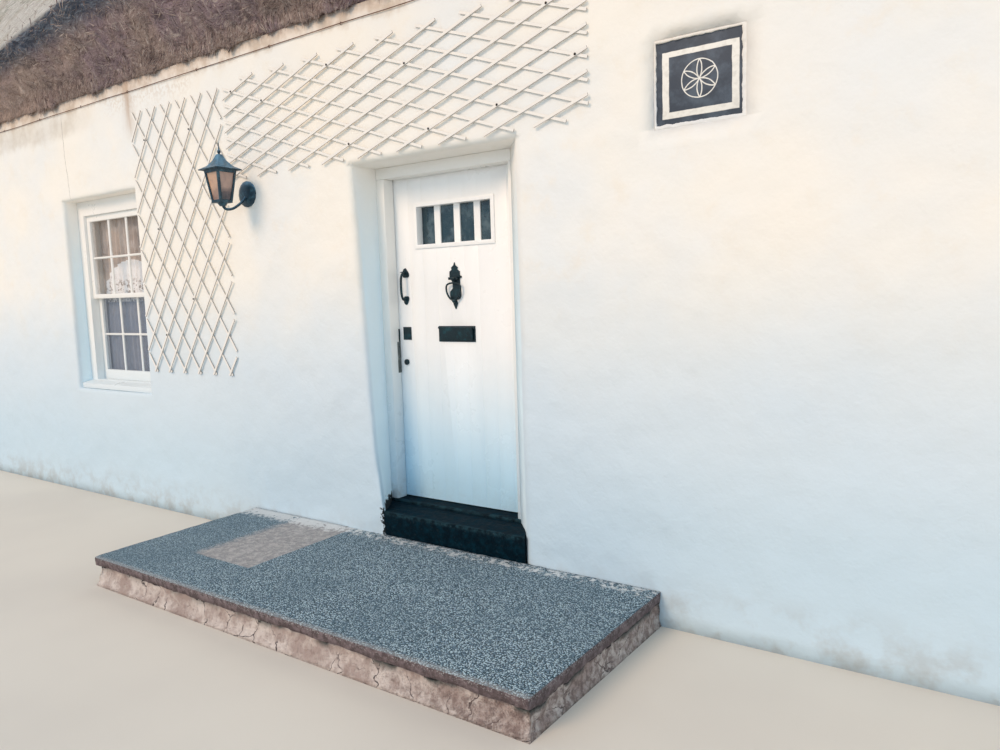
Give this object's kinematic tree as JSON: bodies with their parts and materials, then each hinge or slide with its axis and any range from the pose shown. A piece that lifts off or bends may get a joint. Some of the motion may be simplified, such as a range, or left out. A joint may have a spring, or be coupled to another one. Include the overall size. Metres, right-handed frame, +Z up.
{
  "type": "thatched cottage",
  "caption": "Long low whitewashed cottage under a thick thatched roof, with a recessed plank door that opens, sash windows and gable chimneys.",
  "frame": {"origin": "on the ground, at the middle of the outline that the thatch and the entrance landing cover", "axes": "+X along the front to the right of someone who faces the door, +Y from the front to the back, +Z up"},
  "size_m": [11.4, 6.7593, 8.0475],
  "materials": {
    "limewash": "uneven hand-brushed limewash over rubble and lime render",
    "thatch": "weathered straw thatch, pale on the slope and brown at the cut eaves",
    "straw_ridge": "bunched straw held down by split rods",
    "floor_stone": "worn stone flags",
    "landing_concrete": "cast concrete with pebbles showing on top and pink-brown broken edges",
    "step_paint": "blackish green step paint, scuffed",
    "white_paint": "white gloss paint on timber",
    "black_iron": "black painted antique ironwork",
    "roof_timber": "rough sawn, darkened by smoke",
    "net_lace": "cotton lace, gathered",
    "clear_glass": "old window glass, slightly uneven",
    "amber_glass": "obscured amber lantern glass",
    "pot_clay": "fired clay painted white",
    "plaque_slate": "black painted slab with a white line border"
  },
  "bodies": {
    "root": {"back_left_panes": "clear_glass", "back_left_window": "white_paint", "back_right_panes": "clear_glass", "back_right_window": "white_paint", "back_wall": "limewash", "door_head": "white_paint", "door_jamb_left": "white_paint", "door_jamb_right": "white_paint", "door_sill": "step_paint", "door_step": "step_paint", "doorway_footing": "floor_stone", "eaves_wire": "black_iron", "entrance_landing": "landing_concrete", "front_wall_left": "limewash", "front_wall_over_door": "limewash", "front_wall_right": "limewash", "ground_floor": "floor_stone", "hinge_plate_lower": "black_iron", "hinge_plate_upper": "black_iron", "lantern_bracket": "black_iron", "lantern_cage": "black_iron", "lantern_panes": "amber_glass", "left_chimney_pot": "pot_clay", "left_chimney_stack": "limewash", "left_gable_wall": "limewash", "left_lower_panes": "clear_glass", "left_lower_sash": "white_paint", "left_net_curtain": "net_lace", "left_roof_couple": "roof_timber", "left_upper_panes": "clear_glass", "left_upper_sash": "white_paint", "left_window_frame": "white_paint", "middle_roof_couple": "roof_timber", "narrow_trellis": "white_paint", "plaque": "plaque_slate", "ridge_beam": "roof_timber", "ridge_cap": "straw_ridge", "right_chimney_pot": "pot_clay", "right_chimney_stack": "limewash", "right_gable_wall": "limewash", "right_lower_panes": "clear_glass", "right_lower_sash": "white_paint", "right_net_curtain": "net_lace", "right_roof_couple": "roof_timber", "right_upper_panes": "clear_glass", "right_upper_sash": "white_paint", "right_window_frame": "white_paint", "thatch_coat": "thatch", "wide_trellis": "white_paint"},
    "front_door": {"door_leaf": "white_paint", "door_glass": "clear_glass", "pull_handle": "black_iron", "lock_plate": "black_iron", "lock_cylinder": "black_iron", "knocker_plate": "black_iron", "letter_plate": "black_iron", "hinge_strap_lower": "black_iron", "hinge_strap_upper": "black_iron"},
    "knocker": {"knocker_striker": "black_iron"},
    "letter_flap_body": {"letter_flap": "black_iron"}
  },
  "joints": [
    {"name": "front_door_hinge", "type": "hinge", "parent": "root", "child": "front_door", "pos_m": [0.4335, -1.985, 1.21], "axis": [0, 0, -1], "range_deg": [0, 95]},
    {"name": "knocker_hinge", "type": "hinge", "parent": "front_door", "child": "knocker", "pos_m": [0, -2.0683, 1.572], "axis": [-1, 0, 0], "range_deg": [0, 65]},
    {"name": "letter_flap_hinge", "type": "hinge", "parent": "front_door", "child": "letter_flap_body", "pos_m": [0, -2.0578, 1.3035], "axis": [-1, 0, 0], "range_deg": [0, 75]}
  ]
}
